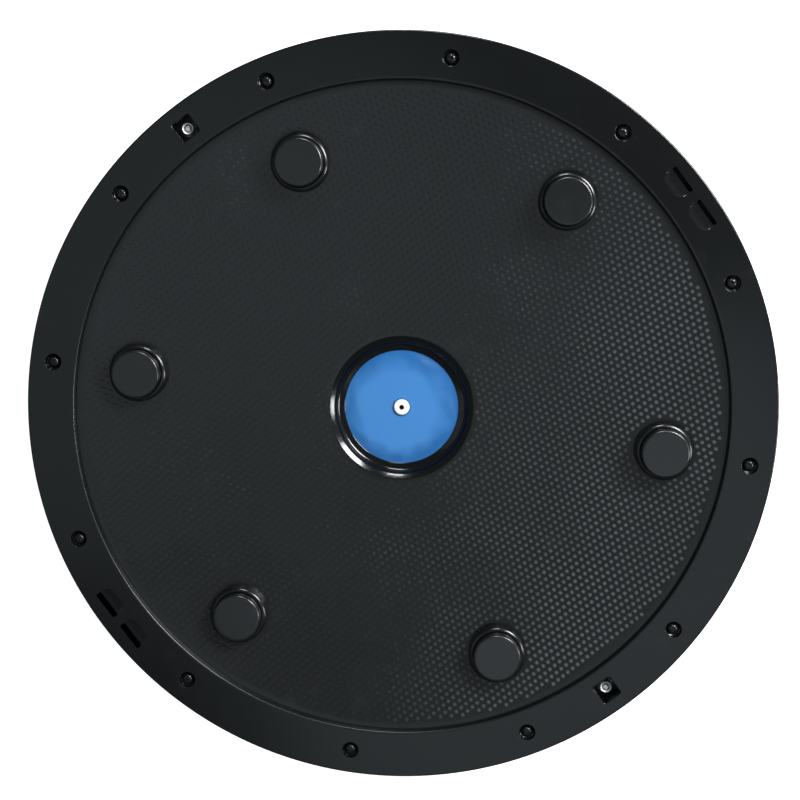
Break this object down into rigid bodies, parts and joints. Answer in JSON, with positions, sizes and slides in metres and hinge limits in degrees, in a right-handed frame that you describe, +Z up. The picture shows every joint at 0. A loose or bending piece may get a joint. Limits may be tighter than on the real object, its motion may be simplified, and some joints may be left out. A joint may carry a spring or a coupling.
{
  "type": "half-ball balance trainer",
  "caption": "Round exercise platform with a dished, dotted deck and rubber feet, clamped over an inflated dome with its valve in the middle.",
  "frame": {"origin": "centre of the dome's flattened contact patch on the floor, under the middle of the object", "axes": "+Z up along the axis of the dome, from the floor to the platform; +X and +Y lie in the floor, with one strap-slot pair 37 degrees from +X towards +Y"},
  "size_m": [0.6, 0.6, 0.23],
  "materials": {
    "moulded_plastic": "satin moulded, with a dotted grip texture on the deck",
    "foot_rubber": "matt",
    "bladder_vinyl": "soft satin vinyl",
    "plug_plastic": "smooth",
    "blackened_steel": "black oxide",
    "zinc_steel": "bright zinc plate"
  },
  "bodies": {
    "root": {"platform": "moulded_plastic", "clamp_ring": "moulded_plastic", "dome_shell": "bladder_vinyl", "base_membrane": "bladder_vinyl", "valve_seat": "bladder_vinyl", "rim_screw_01": "blackened_steel", "rim_screw_02": "blackened_steel", "rim_screw_03": "blackened_steel", "rim_screw_04": "blackened_steel", "rim_screw_05": "blackened_steel", "rim_screw_06": "blackened_steel", "rim_screw_07": "blackened_steel", "rim_screw_08": "blackened_steel", "rim_screw_09": "blackened_steel", "rim_screw_10": "blackened_steel", "rim_screw_11": "blackened_steel", "rim_screw_12": "blackened_steel", "foot_pad_1": "foot_rubber", "foot_pad_2": "foot_rubber", "foot_pad_3": "foot_rubber", "foot_pad_4": "foot_rubber", "foot_pad_5": "foot_rubber", "foot_pad_6": "foot_rubber", "eye_bolt_a": "zinc_steel", "ring_washer_a": "zinc_steel", "nut_washer_a": "zinc_steel", "lock_nut_a": "zinc_steel", "eye_bolt_b": "zinc_steel", "ring_washer_b": "zinc_steel", "nut_washer_b": "zinc_steel", "lock_nut_b": "zinc_steel"},
    "plug": {"valve_plug": "plug_plastic"}
  },
  "joints": [
    {"name": "valve_plug_pull", "type": "slide", "parent": "root", "child": "plug", "axis": [0, 0, 1], "range_m": [0, 0.08]}
  ]
}
